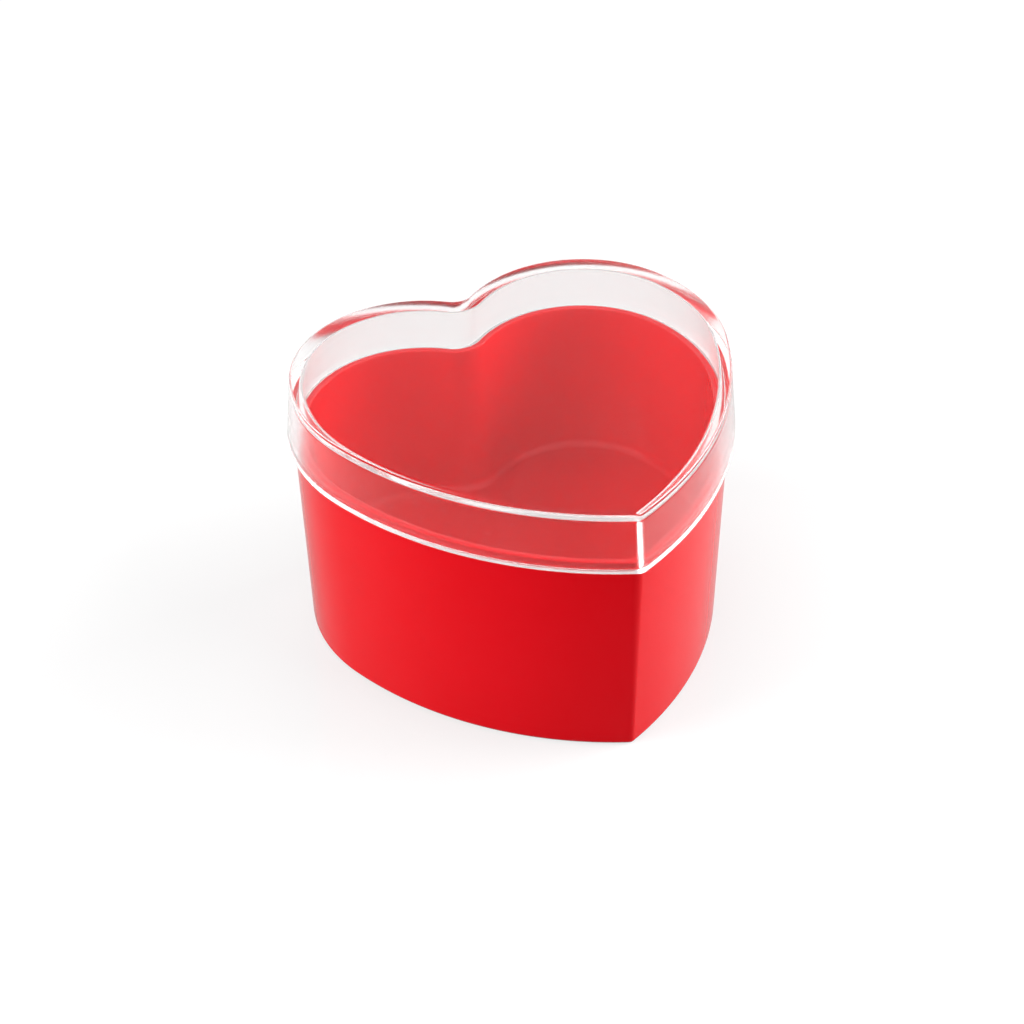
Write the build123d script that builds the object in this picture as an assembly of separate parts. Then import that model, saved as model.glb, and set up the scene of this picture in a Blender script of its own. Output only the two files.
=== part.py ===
"""Heart-shaped gift box in two mouldings: an opaque tub with a raised floor, and a clear lift-off lid.

Millimetres, +Z up. The tub stands on Z = 0, the tip of the heart points along -Y, and the origin
is under the middle of the lid's overall width and length.
"""
import os
from math import atan2, cos, degrees, radians, sin, sqrt

from build123d import *

# Plan outline, taken at the outer edge of the lid's top: each half is a chain of tangent arcs
LOBE_SPACING = 32.4  # between the centres of the two lobes
LOBE_R = 23.1
LOBE_END = 66.7  # where the lobe runs into the shoulder, in degrees from +Y
SHOULDER_R = 32.0
SHOULDER_END = 109.7  # where the shoulder runs into the long side, in degrees from +Y
SIDE_R = 68.2
NOTCH_R = 3.9  # hollow between the lobes

# Lid
LID_H = 11.8
LID_FLARE = 1.0  # how far the skirt's lower edge stands outside the top
LID_TOP_T = 2.2
SKIRT_T = 2.1
LID_TIP_R = 1.4  # tip of the lid's top
LID_EDGE_R = 0.5  # round between the top and the skirt
SKIRT_TIP_R = 0.5  # inside corner at the tip, under the top

# Tub
LEDGE_Z = 40.6  # shoulder that the lid stands on
LEDGE_INSET = 0.15  # tub's outer wall at the ledge, inside the plan outline
FOOT_INSET = 1.45  # tub's outer wall at the foot, inside the plan outline
LIP_H = 1.1  # collar above the ledge that centres the lid
LIP_CLEARANCE = 0.4  # between the collar and the skirt
TUB_WALL = 2.7
TUB_TIP_R = 1.3  # tip of the tub at its foot
CAVITY_TIP_R = 1.8  # inside corner at the tip, at the floor
FOOT_BEVEL = 0.6  # bevel round the foot
FLOOR_Z = 10.8  # upper face of the raised floor
FLOOR_T = 2.2
FLOOR_EDGE_R = 1.8  # round between the floor and the wall
RECESS_TAPER = 0.4  # how far the hollow under the floor narrows on its way up
RECESS_TIP_R = 1.0  # corner of that hollow at the tip, under the floor
GATE_R = 1.6  # stub left by the mould's gate under the floor
GATE_H = 0.6

RIM_Z = LEDGE_Z + LIP_H
CEILING_Z = FLOOR_Z - FLOOR_T
OVERSHOOT = 1.0  # how far a cutting shape runs past the face that it opens

lobe = Vector(LOBE_SPACING / 2, 0)


def toward(turn):
    """Unit vector in plan, turned from +Y towards +X by so many degrees."""
    return Vector(sin(radians(turn)), cos(radians(turn)))


shoulder = lobe + toward(LOBE_END) * (LOBE_R - SHOULDER_R)
side = shoulder + toward(SHOULDER_END) * (SHOULDER_R - SIDE_R)
notch = Vector(0, sqrt((LOBE_R + NOTCH_R) ** 2 - lobe.X**2))


def tip_centre(inset, tip_r):
    """Centre of the arc that rounds the tip of the outline moved inwards by inset."""
    return Vector(0, side.Y - sqrt((SIDE_R - inset - tip_r) ** 2 - side.X**2))


skirt_foot_tip_r = LID_TIP_R + LID_FLARE
front_y = tip_centre(-LID_FLARE, skirt_foot_tip_r).Y - skirt_foot_tip_r
back_y = LOBE_R + LID_FLARE
to_origin = Vector(0, -(front_y + back_y) / 2)


def arc(centre, radius, start, end):
    """Arc about a centre between two directions, in degrees from +Y towards +X."""
    turns = (start, (start + end) / 2, end)
    return ThreePointArc(*[to_origin + centre + toward(turn) * radius for turn in turns])


def heart(inset, tip_r, z):
    """Face at height z inside the plan outline moved inwards by inset, with the tip rounded to tip_r."""
    tip = tip_centre(inset, tip_r)
    notch_turn = degrees(atan2(lobe.X, lobe.Y - notch.Y))
    tip_turn = degrees(atan2(tip.X - side.X, tip.Y - side.Y))
    half = [
        arc(lobe, LOBE_R - inset, notch_turn - 180, LOBE_END),
        arc(shoulder, SHOULDER_R - inset, LOBE_END, SHOULDER_END),
        arc(side, SIDE_R - inset, SHOULDER_END, tip_turn),
    ]
    other_half = [mirror(edge, about=Plane.YZ) for edge in reversed(half)]
    hollow = arc(notch, NOTCH_R + inset, 360 - notch_turn, notch_turn)
    point = arc(tip, tip_r, tip_turn, 360 - tip_turn)
    return Pos(0, 0, z) * make_face([hollow, *half, point, *other_half])


def drafted(low, high, tip_r):
    """Solid with straight drafted walls between two (inset, z) outlines.

    tip_r rounds the tip of the outline that lies further in, and grows outwards as every other radius does.
    """
    furthest_in = max(low[0], high[0])
    return loft([heart(inset, tip_r + furthest_in - inset, z) for inset, z in (low, high)], ruled=True)


def tub_inset(z):
    """Inset of the tub's outer wall at a height, along its draft."""
    return FOOT_INSET + (LEDGE_INSET - FOOT_INSET) * z / LEDGE_Z


def skirt_inset(z):
    """Inset of the skirt's outer face at a height, along its flare."""
    return -LID_FLARE + LID_FLARE * (z - LEDGE_Z) / LID_H


def recess_inset(z):
    """Inset of the hollow under the floor at a height, along its taper."""
    return FOOT_INSET + TUB_WALL + RECESS_TAPER * z / CEILING_Z


def lowest_edges(solid):
    return solid.faces().sort_by(Axis.Z)[0].edges()


def highest_edges(solid):
    return solid.faces().sort_by(Axis.Z)[-1].edges()


def make_tub():
    body = drafted((FOOT_INSET, 0), (LEDGE_INSET, LEDGE_Z), TUB_TIP_R)
    body = chamfer(lowest_edges(body), FOOT_BEVEL)
    collar_gap = SKIRT_T + LIP_CLEARANCE
    collar = drafted(
        (skirt_inset(LEDGE_Z) + collar_gap, LEDGE_Z),
        (skirt_inset(RIM_Z) + collar_gap, RIM_Z),
        TUB_TIP_R,
    )
    mouth_z = RIM_Z + OVERSHOOT
    cavity = drafted(
        (tub_inset(FLOOR_Z) + TUB_WALL, FLOOR_Z),
        (tub_inset(mouth_z) + TUB_WALL, mouth_z),
        CAVITY_TIP_R,
    )
    cavity = fillet(lowest_edges(cavity), FLOOR_EDGE_R)
    recess = drafted(
        (recess_inset(-OVERSHOOT), -OVERSHOOT),
        (recess_inset(CEILING_Z), CEILING_Z),
        RECESS_TIP_R,
    )
    gate = Pos(0, 0, CEILING_Z) * Cylinder(GATE_R, GATE_H, align=(Align.CENTER, Align.CENTER, Align.MAX))
    return body + collar - cavity - recess + gate


def make_lid():
    top_z = LEDGE_Z + LID_H
    outside = drafted((-LID_FLARE, LEDGE_Z), (0, top_z), LID_TIP_R)
    outside = fillet(highest_edges(outside), LID_EDGE_R)
    under_z = top_z - LID_TOP_T
    mouth_z = LEDGE_Z - OVERSHOOT
    inside = drafted(
        (skirt_inset(mouth_z) + SKIRT_T, mouth_z),
        (skirt_inset(under_z) + SKIRT_T, under_z),
        SKIRT_TIP_R,
    )
    return outside - inside


os.makedirs("parts", exist_ok=True)
export_step(make_tub(), "parts/heart_tub.step")
export_step(make_lid(), "parts/clear_lid.step")
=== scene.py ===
from math import cos, pi, radians, sin

import bpy
import numpy as np
from mathutils import Matrix, Vector


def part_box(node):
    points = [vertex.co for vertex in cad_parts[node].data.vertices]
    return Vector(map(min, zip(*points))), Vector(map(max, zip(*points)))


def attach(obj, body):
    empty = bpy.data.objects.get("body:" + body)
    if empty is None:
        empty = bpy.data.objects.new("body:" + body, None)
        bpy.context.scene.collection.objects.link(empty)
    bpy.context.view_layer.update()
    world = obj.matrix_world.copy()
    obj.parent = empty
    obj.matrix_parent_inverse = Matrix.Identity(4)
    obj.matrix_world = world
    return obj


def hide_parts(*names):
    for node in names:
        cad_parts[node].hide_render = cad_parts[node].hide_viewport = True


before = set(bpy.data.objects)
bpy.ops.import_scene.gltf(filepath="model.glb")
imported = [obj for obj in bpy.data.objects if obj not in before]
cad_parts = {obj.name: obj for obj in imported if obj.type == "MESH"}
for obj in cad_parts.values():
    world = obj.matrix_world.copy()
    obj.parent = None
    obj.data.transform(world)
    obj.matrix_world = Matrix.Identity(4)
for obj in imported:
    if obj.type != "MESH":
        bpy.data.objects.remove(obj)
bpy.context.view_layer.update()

# Sizes are in millimetres, unless said otherwise, and turns in plan are in degrees from +Y towards +X
MM = 0.001

# Plan outline at the outer edge of the lid's top: each half is a chain of tangent arcs
LOBE_SPACING = 32.4  # between the centres of the two lobes
LOBE_R = 23.1
LOBE_END = 66.7  # where the lobe runs into the shoulder
SHOULDER_R = 32.0
SHOULDER_END = 109.7  # where the shoulder runs into the long side
SIDE_R = 68.2
NOTCH_R = 3.9  # hollow between the lobes

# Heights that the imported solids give
LEDGE_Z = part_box("clear_lid")[0].z / MM
TOP_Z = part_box("clear_lid")[1].z / MM
RIM_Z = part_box("heart_tub")[1].z / MM

# Lid
LID_FLARE = 1.0  # how far the skirt's foot stands outside the top
LID_TOP_T = 2.2
SKIRT_T = 2.1
LID_TIP_R = 1.4  # tip of the lid's top
LID_EDGE_R = 0.5  # round between the top and the skirt
LID_CORNER_R = 0.6  # round between the skirt and the underside of the top
SKIRT_TIP_R = 1.0  # inside of the skirt, at the tip
SKIRT_FOOT_R = 0.15  # both edges of the skirt's foot
SEAT_GAP = 0.05  # air between the skirt's foot and the ledge

# Added to the radius of the lid's notch in the normals alone, so that no line shows down the notch
NOTCH_EASE = 30.0

# Tub
LEDGE_INSET = 0.15  # outer wall at the ledge, inside the plan outline
FOOT_INSET = 1.45  # outer wall at the foot, inside the plan outline
LIP_CLEARANCE = 0.4  # between the collar and the skirt
TUB_WALL = 2.7
TUB_TIP_R = 1.3  # tip of the tub at its foot
CAVITY_TIP_R = 1.8  # inside corner at the tip, at the floor
FLOOR_Z = 10.8  # upper face of the raised floor
FLOOR_T = 2.2
FLOOR_EDGE_R = 1.8  # round between the floor and the wall
FOOT_EDGE_R = 0.9
RIM_EDGE_R = 0.3
LEDGE_CORNER_R = 0.15  # hollow round between the ledge and the collar
LEDGE_EDGE_R = 0.25  # round between the ledge and the outer wall
FOOT_INNER_R = 0.3
RECESS_TAPER = 0.4  # how far the hollow under the floor narrows on its way up
RECESS_TIP_R = 1.0  # corner of that hollow at the tip, under the floor
RECESS_EDGE_R = 0.8
GATE_R = 1.6  # stub left by the mould's gate under the floor
GATE_H = 0.6
GATE_EDGE_R = 0.2
CEILING_Z = FLOOR_Z - FLOOR_T

# How deep in the tub's wall, as a share of it, a point takes the tip of the cavity, or of the hollow below
CAVITY_SHARE = 0.75
RECESS_SHARE = 0.6

SHARPEST_TIP_R = 0.05
PLATE_MARGIN = 0.5  # flat run between a round and the plate that it leads to

# Fineness of the meshes
HOLLOW_STEPS, LOBE_STEPS, SHOULDER_STEPS, SIDE_STEPS, TIP_STEPS = 24, 80, 36, 60, 20
ROUND_STEPS = 8
ROUND_ROWS = ROUND_STEPS + 1
PLATE_RINGS = 6
TURN_STEPS = 48


def toward(turn):
    """Unit vectors in plan, turned from +Y towards +X by so many degrees."""
    turn = np.radians(turn)
    return np.stack([np.sin(turn), np.cos(turn)], axis=-1)


lobe = np.array([LOBE_SPACING / 2, 0.0])
shoulder = lobe + toward(LOBE_END) * (LOBE_R - SHOULDER_R)
side = shoulder + toward(SHOULDER_END) * (SHOULDER_R - SIDE_R)


def tip_y(inset, tip_r):
    """Centre of the tip's arc: where the side arcs, moved in by inset + tip_r, cross on the middle line."""
    return side[1] - np.sqrt((SIDE_R - inset - tip_r) ** 2 - side[0] ** 2)


skirt_foot_tip_r = LID_TIP_R + LID_FLARE
front_y = tip_y(-LID_FLARE, skirt_foot_tip_r) - skirt_foot_tip_r
back_y = LOBE_R + LID_FLARE
shift = np.array([0.0, -(front_y + back_y) / 2])


def heart(inset, tip_r, notch_r):
    """Closed outlines for arrays of insets, tip radii and notch radii: points and outward unit normals.

    Moving the chain of tangent arcs inwards by a distance shortens every outer radius by it, and an arc of
    notch_r that touches both lobes joins them. A row walks the notch, lobe, shoulder, side and tip of the
    right half, then the same mirrored. Both arrays are (rows, around, 2).
    """
    level = np.zeros_like(inset)
    tip = np.stack([level, tip_y(inset, tip_r)], axis=-1)
    tip_turn = np.degrees(np.arctan2(tip[:, 0] - side[0], tip[:, 1] - side[1]))
    notch = np.stack([level, np.sqrt((LOBE_R - inset + notch_r) ** 2 - lobe[0] ** 2)], axis=-1)
    notch_turn = np.degrees(np.arctan2(lobe[0], lobe[1] - notch[:, 1]))
    arcs = [
        (notch, notch_r, 180 + level, notch_turn, HOLLOW_STEPS, -1),
        (lobe, LOBE_R - inset, notch_turn - 180, LOBE_END + level, LOBE_STEPS, 1),
        (shoulder, SHOULDER_R - inset, LOBE_END + level, SHOULDER_END + level, SHOULDER_STEPS, 1),
        (side, SIDE_R - inset, SHOULDER_END + level, tip_turn, SIDE_STEPS, 1),
        (tip, tip_r, tip_turn, 180 + level, TIP_STEPS, 1),
    ]
    points, normals = [], []
    for centre, radius, start, end, steps, way in arcs:
        share = np.arange(steps) / steps
        ray = toward(start[:, None] + (end - start)[:, None] * share)
        points.append(np.reshape(centre, (-1, 1, 2)) + radius[:, None, None] * ray)
        normals.append(way * ray)
    foremost = tip + np.stack([level, -tip_r], axis=-1)
    points.append(foremost[:, None, :])
    normals.append(np.broadcast_to([0.0, -1.0], foremost[:, None, :].shape))
    right, out = np.concatenate(points, axis=1), np.concatenate(normals, axis=1)
    mirrored = np.array([-1.0, 1.0])
    left, left_out = right[:, -2:0:-1] * mirrored, out[:, -2:0:-1] * mirrored
    return np.concatenate([right, left], axis=1) + shift, np.concatenate([out, left_out], axis=1)


def rounded(corners):
    """Profile through (inset, z, round radius) corners: its insets, heights and unit normals (outward, up).

    Each corner between two straight runs becomes an arc of ROUND_ROWS points that touches both, and a point's
    normal is the direction of travel turned a quarter to the left. The first and last corners are kept sharp.
    """
    at = np.array([(-inset, z) for inset, z, _ in corners])
    runs = np.diff(at, axis=0)
    heads = runs / np.linalg.norm(runs, axis=1)[:, None]
    angles = np.arctan2(heads[:, 1], heads[:, 0])
    points, facing = [at[:1]], [angles[:1]]
    for index, (_, _, radius) in enumerate(corners[1:-1], start=1):
        before = heads[index - 1]
        turn = (angles[index] - angles[index - 1] + pi) % (2 * pi) - pi
        start = at[index] - before * radius * np.tan(abs(turn) / 2)
        way = np.sign(turn)
        centre = start + way * radius * np.array([-before[1], before[0]])
        angle = angles[index - 1] + turn * np.arange(ROUND_ROWS) / ROUND_STEPS
        points.append(centre + way * radius * np.stack([np.sin(angle), -np.cos(angle)], axis=-1))
        facing.append(angle)
    points.append(at[-1:])
    facing.append(angles[-1:])
    at, angle = np.concatenate(points), np.concatenate(facing)
    return -at[:, 0], at[:, 1], np.stack([-np.sin(angle), np.cos(angle)], axis=-1)


def piece_from(name, points, normals, faces, body, slot_name, *nodes):
    """Object at the origin from points in millimetres, unit normals and faces, riding on a body.

    It stands in for the nodes that are named, if any.
    """
    mesh = bpy.data.meshes.new(name)
    mesh.from_pydata((points * MM).tolist(), [], faces)
    mesh.polygons.foreach_set("use_smooth", np.ones(len(mesh.polygons), dtype=bool))
    mesh.normals_split_custom_set_from_vertices(normals.tolist())
    made = bpy.data.objects.new(name, mesh)
    bpy.context.scene.collection.objects.link(made)
    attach(made, body)
    if nodes:
        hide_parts(*nodes)
    return made


def shell_faces(rows, around):
    """Faces of a closed grid of rows by columns, with a fan to a pole at each end.

    The grid's points are numbered row by row from 0, and the first and last rows' poles follow them.
    """
    row, column = np.meshgrid(np.arange(rows - 1), np.arange(around), indexing="ij")
    after = (column + 1) % around
    here_start, next_start = row * around, (row + 1) * around
    corners = [here_start + column, here_start + after, next_start + after, next_start + column]
    quads = np.stack([corner.ravel() for corner in corners], axis=-1)
    here = np.arange(around)
    onward = (here + 1) % around
    first_pole, last_pole = rows * around, rows * around + 1
    last_row = (rows - 1) * around
    first_fan = np.stack([np.full(around, first_pole), onward, here], axis=-1)
    last_fan = np.stack([np.full(around, last_pole), last_row + here, last_row + onward], axis=-1)
    return quads.tolist() + first_fan.tolist() + last_fan.tolist()


def heart_shell(name, corners, radii_at, notch_ease, attribute, marks, body, slot_name, node):
    """Closed moulding: a rounded profile carried round the heart, between two flat plates.

    Row by row, the outline is taken at the profile's inset, with the tip and notch radii that radii_at gives
    for it, and stands at the profile's height. Its normal is that of an outline with notch_ease added to the
    notch's radius, tilted as the profile's is. Both plates are the end outlines shrunk in even steps to a
    point on the middle line. The attribute holds each mark's value on the mark's rows of the profile, and 0
    on the others, and the plates go on from the first and the last row.
    """
    inset, z, tilt = rounded(corners)
    tip_r, notch_r = radii_at(inset, z)
    outline = heart(inset, tip_r, notch_r)[0]
    out = heart(inset, tip_r, notch_r + notch_ease)[1]
    height = np.broadcast_to(z[:, None, None], outline.shape[:2] + (1,))
    wall = np.concatenate([outline, height], axis=-1)
    lean = np.broadcast_to(tilt[:, None, 1:], height.shape)
    wall_normal = np.concatenate([out * tilt[:, None, :1], lean], axis=-1)
    share = np.arange(1, PLATE_RINGS + 1) / (PLATE_RINGS + 1)

    def plate(edge, sizes):
        rings = edge[None, :, :2] * sizes[:, None, None]
        return np.concatenate([rings, np.full(rings.shape[:2] + (1,), edge[0, 2])], axis=-1)

    points = np.concatenate([plate(wall[0], share), wall, plate(wall[-1], share[::-1])])
    up = np.array([0.0, 0.0, 1.0])
    ring_shape = (PLATE_RINGS,) + wall.shape[1:]
    normals = np.concatenate([np.broadcast_to(up, ring_shape), wall_normal, np.broadcast_to(-up, ring_shape)])
    poles = np.array([[0.0, 0.0, z[0]], [0.0, 0.0, z[-1]]])
    rows, around = points.shape[:2]
    made = piece_from(
        name,
        np.concatenate([points.reshape(-1, 3), poles]),
        np.concatenate([normals.reshape(-1, 3), [up, -up]]),
        shell_faces(rows, around),
        body,
        slot_name,
        node,
    )
    on_row = np.zeros(len(inset))
    for marked_rows, value in marks:
        on_row[marked_rows] = value
    on_row = np.pad(on_row, PLATE_RINGS, mode="edge")
    on_point = np.append(np.repeat(on_row, around), on_row[[0, -1]]).astype(np.float32)
    made.data.attributes.new(attribute, "FLOAT", "POINT").data.foreach_set("value", on_point)
    return made


def turned(name, corners, body, slot_name):
    """Closed solid of revolution about Z: a rounded profile turned once round.

    The profile has (-radius, z, round radius) corners, and both its ends lie on the axis.
    """
    inset, z, tilt = rounded(corners)
    ray = toward(np.arange(TURN_STEPS) * 360 / TURN_STEPS)
    radius = -inset[1:-1]
    height = np.broadcast_to(z[1:-1, None, None], (len(radius), TURN_STEPS, 1))
    points = np.concatenate([radius[:, None, None] * ray, height], axis=-1)
    lean = np.broadcast_to(tilt[1:-1, None, 1:], height.shape)
    normals = np.concatenate([ray * tilt[1:-1, None, :1], lean], axis=-1)
    poles = np.array([[0.0, 0.0, z[0]], [0.0, 0.0, z[-1]]])
    up = np.array([0.0, 0.0, 1.0])
    return piece_from(
        name,
        np.concatenate([points.reshape(-1, 3), poles]),
        np.concatenate([normals.reshape(-1, 3), [up, -up]]),
        shell_faces(len(radius), TURN_STEPS),
        body,
        slot_name,
    )


def tub_inset(z):
    """Inset of the tub's outer wall at a height, along its draft."""
    return FOOT_INSET + (LEDGE_INSET - FOOT_INSET) * z / LEDGE_Z


def skirt_inset(z):
    """Inset of the skirt's outer face at a height, along its flare."""
    return -LID_FLARE + LID_FLARE * (z - LEDGE_Z) / (TOP_Z - LEDGE_Z)


def skirt_inside(z):
    """Inset of the skirt's inner face at a height."""
    return skirt_inset(z) + SKIRT_T


def make_tub():
    """Tub in one closed shell: floor, inner wall, rim, collar, ledge, outer wall, foot and hollow below."""
    cavity_inset = tub_inset(FLOOR_Z) + TUB_WALL
    recess_inset = FOOT_INSET + TUB_WALL
    recess_top = recess_inset + RECESS_TAPER
    corners = [
        (cavity_inset + FLOOR_EDGE_R + PLATE_MARGIN, FLOOR_Z, 0),
        (cavity_inset, FLOOR_Z, FLOOR_EDGE_R),
        (tub_inset(RIM_Z) + TUB_WALL, RIM_Z, RIM_EDGE_R),
        (skirt_inside(RIM_Z) + LIP_CLEARANCE, RIM_Z, RIM_EDGE_R),
        (skirt_inside(LEDGE_Z) + LIP_CLEARANCE, LEDGE_Z, LEDGE_CORNER_R),
        (LEDGE_INSET, LEDGE_Z, LEDGE_EDGE_R),
        (FOOT_INSET, 0, FOOT_EDGE_R),
        (recess_inset, 0, FOOT_INNER_R),
        (recess_top, CEILING_Z, RECESS_EDGE_R),
        (recess_top + RECESS_EDGE_R + PLATE_MARGIN, CEILING_Z, 0),
    ]

    def radii_at(inset, z):
        outer = TUB_TIP_R + FOOT_INSET - inset
        cavity = CAVITY_TIP_R + cavity_inset - inset
        recess = RECESS_TIP_R + recess_top - inset
        inside = np.where(z > CEILING_Z + FLOOR_T / 2, cavity, recess)
        above = tub_inset(z) + TUB_WALL * CAVITY_SHARE
        below = FOOT_INSET + TUB_WALL * RECESS_SHARE
        inside_from = np.where(z > CEILING_Z, above, below)
        tip_r = np.maximum(np.where(inset > inside_from, inside, outer), SHARPEST_TIP_R)
        return tip_r, NOTCH_R + inset

    # The floor, its round, the inner wall and the inner round of the rim
    inside_rows = slice(0, 1 + 2 * ROUND_ROWS)
    marks = [(inside_rows, 1.0)]
    return heart_shell("red_tub", corners, radii_at, 0.0, "inside", marks, "tub", "red_moulding", "heart_tub")


def make_gate_stub():
    """Low round stub under the floor, where the moulding was fed."""
    foot_z = CEILING_Z - GATE_H
    corners = [
        (0, CEILING_Z, 0),
        (-GATE_R, CEILING_Z, GATE_EDGE_R),
        (-GATE_R, foot_z, GATE_EDGE_R),
        (0, foot_z, 0),
    ]
    return turned("gate_stub", corners, "tub", "red_moulding")


# Roughness of the clear lid's skirt and of its foot
SKIRT_ROUGHNESS = 0.09
FOOT_ROUGHNESS = 0.12


def make_lid():
    """Clear lid in one closed shell: top, skirt, foot and underside."""
    under_z = TOP_Z - LID_TOP_T
    under_inset = skirt_inside(under_z)
    seat_z = LEDGE_Z + SEAT_GAP
    corners = [
        (LID_EDGE_R + PLATE_MARGIN, TOP_Z, 0),
        (0, TOP_Z, LID_EDGE_R),
        (-LID_FLARE, seat_z, SKIRT_FOOT_R),
        (skirt_inside(LEDGE_Z), seat_z, SKIRT_FOOT_R),
        (under_inset, under_z, LID_CORNER_R),
        (under_inset + LID_CORNER_R + PLATE_MARGIN, under_z, 0),
    ]

    def radii_at(inset, z):
        outer = LID_TIP_R - inset
        inner = np.full_like(inset, SKIRT_TIP_R)
        skirt_middle = (skirt_inset(z) + skirt_inside(z)) / 2
        tip_r = np.maximum(np.where(inset > skirt_middle, inner, outer), SHARPEST_TIP_R)
        return tip_r, NOTCH_R + inset

    # The skirt, from the end of the edge's round to the start of the round under the top, and its foot
    skirt_rows = slice(ROUND_ROWS, 3 * ROUND_ROWS + 2)
    foot_rows = slice(ROUND_ROWS + 2, 3 * ROUND_ROWS)
    marks = [(skirt_rows, SKIRT_ROUGHNESS), (foot_rows, FOOT_ROUGHNESS)]
    return heart_shell(
        "clear_cover", corners, radii_at, NOTCH_EASE, "matt", marks, "lid", "clear_moulding", "clear_lid"
    )


class Link:
    """Output socket that takes part in Python arithmetic: each operator adds one Math node to its tree."""

    def __init__(self, shading, socket):
        self.shading = shading
        self.socket = socket

    def math(self, operation, left, right):
        return self.shading.node("ShaderNodeMath", {"operation": operation}, {0: left, 1: right})

    def __add__(self, other):
        return self.math("ADD", self, other)

    def __radd__(self, other):
        return self.math("ADD", other, self)

    def __sub__(self, other):
        return self.math("SUBTRACT", self, other)

    def __rsub__(self, other):
        return self.math("SUBTRACT", other, self)

    def __mul__(self, other):
        return self.math("MULTIPLY", self, other)

    def __rmul__(self, other):
        return self.math("MULTIPLY", other, self)


# Where a Mix node keeps its colours
MIX_A, MIX_B, MIX_RESULT = 6, 7, 2


class Shading:
    """Node tree of a material or the world, with one method that adds any node."""

    def __init__(self, owner):
        owner.use_nodes = True
        self.tree = owner.node_tree
        self.tree.nodes.clear()

    def node(self, kind, settings=None, sockets=None, out=0):
        """Adds a node: first its settings, then its sockets' values or links. Gives one of its outputs."""
        made = self.tree.nodes.new(kind)
        for name, value in (settings or {}).items():
            setattr(made, name, value)
        for name, value in (sockets or {}).items():
            if isinstance(value, Link):
                self.tree.links.new(value.socket, made.inputs[name])
            else:
                made.inputs[name].default_value = value
        return Link(self, made.outputs[out]) if made.outputs else None

    def blend(self, share, one, other):
        """Colour between two others, by the share of the second."""
        colours = {0: share, MIX_A: one, MIX_B: other}
        return self.node("ShaderNodeMix", {"data_type": "RGBA"}, colours, out=MIX_RESULT)

    def noise(self, place, scale, detail):
        """Even noise, with about so many lumps to the metre."""
        return self.node("ShaderNodeTexNoise", {}, {"Vector": place, "Scale": scale, "Detail": detail})

    def marked(self, attribute):
        """Value that heart_shell wrote on a piece, and 0 on a piece without it."""
        return self.node("ShaderNodeAttribute", {"attribute_name": attribute}, out="Fac")

    def ray(self, kind):
        """1 for rays of one kind and 0 for the others."""
        return self.node("ShaderNodeLightPath", out=f"Is {kind} Ray")

    def surface(self, shader):
        """Makes a shader the material's own."""
        self.node("ShaderNodeOutputMaterial", {}, {"Surface": shader})


def grey(level):
    """Colour without a hue."""
    return (level, level, level, 1)


PLASTIC_IOR = 1.5

# Red plastic
DEEP_RED = (0.80, 0.001, 0.006, 1)
BRIGHT_RED = (0.86, 0.002, 0.010, 1)
HIGHLIGHT_RED = (0.5, 0.0, 0.01, 1)
SPILT_RED = (0.02, 0.002, 0.002, 1)
SPILT_SHARE = 0.75  # how far the outside goes over to spilt red where another surface gathers its light
RED_ROUGHNESS, RED_HAZE = 0.10, 0.06
INSIDE_COAT, INSIDE_COAT_ROUGHNESS = 0.8, 0.03
RIPPLE_STRENGTH, RIPPLE_DEPTH = 0.02, 0.5 * MM


def red_moulding():
    """Opaque red plastic with a faint mottle, an uneven gloss and a slight ripple, glossier on the inside.

    The outside throws little red on other surfaces, so that the floor beside the part stays white.
    """
    material = bpy.data.materials.new("red_moulding")
    paint = Shading(material)
    place = paint.node("ShaderNodeTexCoord", out="Object")
    inside = paint.marked("inside")
    mottled = paint.blend(paint.noise(place, scale=60.0, detail=3.0), DEEP_RED, BRIGHT_RED)
    spilt = paint.ray("Diffuse") * (1.0 - inside) * SPILT_SHARE
    haze = paint.noise(place, scale=900.0, detail=2.0)
    ripple = {
        "Height": paint.noise(place, scale=220.0, detail=1.0),
        "Strength": RIPPLE_STRENGTH,
        "Distance": RIPPLE_DEPTH,
    }
    plastic = {
        "Base Color": paint.blend(spilt, mottled, SPILT_RED),
        "Roughness": RED_ROUGHNESS + haze * RED_HAZE,
        "IOR": PLASTIC_IOR,
        "Specular IOR Level": 0.5,
        "Specular Tint": HIGHLIGHT_RED,
        "Coat Weight": inside * INSIDE_COAT,
        "Coat Roughness": INSIDE_COAT_ROUGHNESS,
        "Normal": paint.node("ShaderNodeBump", {}, ripple),
    }
    paint.surface(paint.node("ShaderNodeBsdfPrincipled", {}, plastic))
    return material


# Clear plastic
LID_TINT, LID_TINT_CLEAREST = grey(0.975), grey(0.99)
LID_HAZE = 0.02
LIGHT_LET_THROUGH = grey(0.97)


def clear_moulding():
    """Clear plastic: colourless, with a trace of haze, polished on top and slightly matt on the skirt.

    Light falls through it on to the tub and the floor with hardly any loss.
    """
    material = bpy.data.materials.new("clear_moulding")
    paint = Shading(material)
    place = paint.node("ShaderNodeTexCoord", out="Object")
    haze = paint.noise(place, scale=120.0, detail=2.0)
    plastic = {
        "Base Color": paint.blend(haze, LID_TINT, LID_TINT_CLEAREST),
        "Roughness": haze * LID_HAZE + paint.marked("matt"),
        "IOR": PLASTIC_IOR,
        "Transmission Weight": 1.0,
    }
    solid = paint.node("ShaderNodeBsdfPrincipled", {}, plastic)
    open_to_light = paint.node("ShaderNodeBsdfTransparent", {}, {"Color": LIGHT_LET_THROUGH})
    both = {0: paint.ray("Shadow"), 1: solid, 2: open_to_light}
    paint.surface(paint.node("ShaderNodeMixShader", {}, both))
    return material


# Studio floor: its grey, and the darker one that lights the part from below
STUDIO_GREY, STUDIO_GREY_BELOW = grey(0.40), grey(0.22)
STUDIO_ROUGHNESS = 0.08
STUDIO_IOR = 1.45
STUDIO_SHEEN = 0.25

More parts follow.
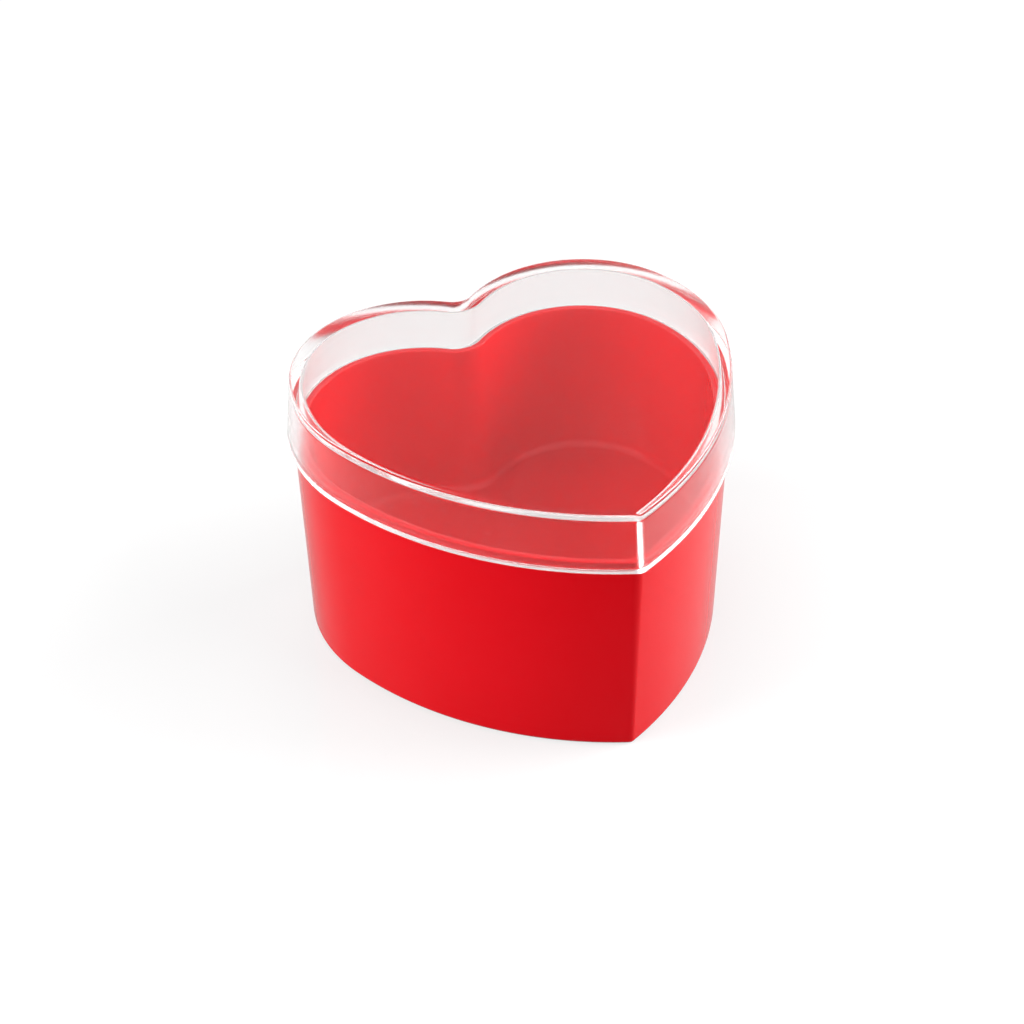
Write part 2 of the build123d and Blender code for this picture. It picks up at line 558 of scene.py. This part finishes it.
# Light of its own that lifts the studio floor for each kind of ray, and what is added to it far from the part
SEEN_LIFT, SEEN_LIFT_FAR = 0.58, 0.42
THROUGH_LIFT, THROUGH_LIFT_FAR = 0.36, 0.24
MIRRORED_LIFT = 0.2
FAR_FROM, FAR_TO = 0.25, 0.55  # distances in metres over which near becomes far

# Direction in plan towards the left front, and distances in metres over which the lid's lift fades that way
AHEAD = (-0.64, -0.77, 0.0)
FADE_FROM, FADE_TO = 0.03, 0.09


def studio_floor():
    """Floor with a soft sheen: white to the camera, pale through the lid, and darker where light is kept off.

    The lift that the lid and gloss see fades out ahead of the part, and comes back far from it.
    """
    material = bpy.data.materials.new("studio_floor")
    paint = Shading(material)
    place = paint.node("ShaderNodeTexCoord", out="Object")
    distance = paint.node("ShaderNodeVectorMath", {"operation": "LENGTH"}, {0: place}, out="Value")
    far = paint.node("ShaderNodeMapRange", {}, {"Value": distance, "From Min": FAR_FROM, "From Max": FAR_TO})
    dot_product = {"operation": "DOT_PRODUCT"}
    ahead = paint.node("ShaderNodeVectorMath", dot_product, {0: place, 1: AHEAD}, out="Value")
    fading = {"Value": ahead, "From Min": FADE_TO, "From Max": FADE_FROM}
    near = paint.node("ShaderNodeMapRange", {"interpolation_type": "SMOOTHSTEP"}, fading)
    seen = paint.ray("Camera") * (SEEN_LIFT + far * SEEN_LIFT_FAR)
    mirrored = paint.ray("Glossy") * MIRRORED_LIFT
    through_lid = paint.ray("Transmission") * (THROUGH_LIFT + far * THROUGH_LIFT_FAR)
    lift = seen + (mirrored + through_lid) * (near + far - near * far)
    sheet = {
        "Base Color": paint.blend(paint.ray("Diffuse"), STUDIO_GREY, STUDIO_GREY_BELOW),
        "Roughness": STUDIO_ROUGHNESS,
        "IOR": STUDIO_IOR,
        "Specular IOR Level": STUDIO_SHEEN,
    }
    lit = paint.node("ShaderNodeBsdfPrincipled", {}, sheet)
    glow = paint.node("ShaderNodeEmission", {}, {"Color": grey(1), "Strength": lift})
    paint.surface(paint.node("ShaderNodeAddShader", {}, {0: lit, 1: glow}))
    return material


def make_stage():
    """Flat studio floor under the part, wide enough to fill every view."""
    reach = 6.0  # metres
    corners = [(-reach, -reach, 0), (reach, -reach, 0), (reach, reach, 0), (-reach, reach, 0)]
    mesh = bpy.data.meshes.new("floor")
    mesh.from_pydata(corners, [], [(0, 1, 2, 3)])
    floor = bpy.data.objects.new("floor", mesh)
    bpy.context.scene.collection.objects.link(floor)
    mesh.materials.append(studio_floor())


# Surround: how bright it is as light, and what is added for each kind of ray
SKY_LIGHT = 0.04
SKY_SEEN = 0.96
SKY_MIRRORED = 0.05
SKY_THROUGH = 0.60


def make_world():
    """Plain even surround: white to the camera, pale through the lid, and dim in gloss and as light."""
    world = bpy.data.worlds.new("studio")
    bpy.context.scene.world = world
    paint = Shading(world)
    seen = paint.ray("Camera") * SKY_SEEN
    mirrored = paint.ray("Glossy") * SKY_MIRRORED
    through_lid = paint.ray("Transmission") * SKY_THROUGH
    strength = SKY_LIGHT + seen + mirrored + through_lid
    sky = paint.node("ShaderNodeBackground", {}, {"Color": grey(1), "Strength": strength})
    paint.node("ShaderNodeOutputWorld", {}, {"Surface": sky})


# Soft boxes: name, place, width and height in metres, and how bright the face is, then where they aim
SOFT_BOXES = [
    ("left_box", (-0.548, 0.097, 0.225), 0.45, 0.45, 5.0),
    ("right_box", (0.548, -0.097, 0.225), 0.45, 0.45, 5.6),
    ("back_box", (0.0, 0.30, 0.55), 0.5, 0.3, 2.0),
    ("front_left_box", (-0.45, -0.30, 0.50), 0.8, 0.8, 1.5),
    ("front_right_box", (0.52, -0.35, 0.36), 0.7, 0.6, 2.9),
]
SOFT_BOX_AIM = Vector((0, 0, 0.03))


def make_lights():
    """Area lamps that face the part, each with its power worked out from how bright its face is.

    Without multiple importance sampling, rays that leave the lid pass through the lamps, so that the lamps'
    outlines don't show in it.
    """
    for name, place, width, height, brightness in SOFT_BOXES:
        lamp = bpy.data.lights.new(name, "AREA")
        lamp.shape = "RECTANGLE"
        lamp.size, lamp.size_y = width, height
        lamp.energy = brightness * pi * width * height
        lamp.cycles.use_multiple_importance_sampling = False
        box = bpy.data.objects.new(name, lamp)
        bpy.context.scene.collection.objects.link(box)
        box.location = place
        box.rotation_mode = "QUATERNION"
        box.rotation_quaternion = (SOFT_BOX_AIM - Vector(place)).to_track_quat("-Z", "Y")


# Camera: solved from the outlines of the lid and the tub in the photograph, with angles in degrees
VIEW_AZIMUTH = -24.665  # from -Y towards +X
VIEW_ELEVATION = 37.667
VIEW_ROLL = -0.826
VIEW_DISTANCE = 495.0
AIM_ACROSS = 1.367
AIM_Z = 15.294
SENSOR = 36.0
IMAGE_WIDTH = 1024  # pixels
FOCAL_LENGTH = 2634  # pixels of that image


def make_camera():
    """Camera turned round the part by its azimuth and elevation, then rolled about its own axis."""
    azimuth, elevation, roll = radians(VIEW_AZIMUTH), radians(VIEW_ELEVATION), radians(VIEW_ROLL)
    back = Vector((sin(azimuth) * cos(elevation), -cos(azimuth) * cos(elevation), sin(elevation)))
    across = Vector((cos(azimuth), sin(azimuth), 0))
    aim = across * AIM_ACROSS + Vector((*shift, AIM_Z))
    upward = back.cross(across)
    right = across * cos(roll) + upward * sin(roll)
    above = upward * cos(roll) - across * sin(roll)
    lens = bpy.data.cameras.new("camera")
    lens.sensor_width = SENSOR
    lens.lens = FOCAL_LENGTH / IMAGE_WIDTH * SENSOR
    lens.clip_start, lens.clip_end = 0.01, 50
    camera = bpy.data.objects.new("camera", lens)
    bpy.context.scene.collection.objects.link(camera)
    turn = Matrix((right, above, back)).transposed()
    camera.matrix_world = Matrix.Translation((aim + back * VIEW_DISTANCE) * MM) @ turn.to_4x4()
    bpy.context.scene.camera = camera


tub = make_tub()
stub = make_gate_stub()
lid = make_lid()
red = red_moulding()
for red_piece in (tub, stub):
    red_piece.data.materials.append(red)
lid.data.materials.append(clear_moulding())
make_stage()
make_world()
make_lights()
make_camera()

# Light is reflected many times inside the lid's edges before it leaves them
BOUNCES = 96
scene = bpy.context.scene
scene.view_settings.view_transform = "Standard"
scene.cycles.max_bounces = BOUNCES
scene.cycles.transmission_bounces = BOUNCES
scene.cycles.glossy_bounces = BOUNCES
scene.cycles.caustics_reflective = False
scene.cycles.caustics_refractive = False
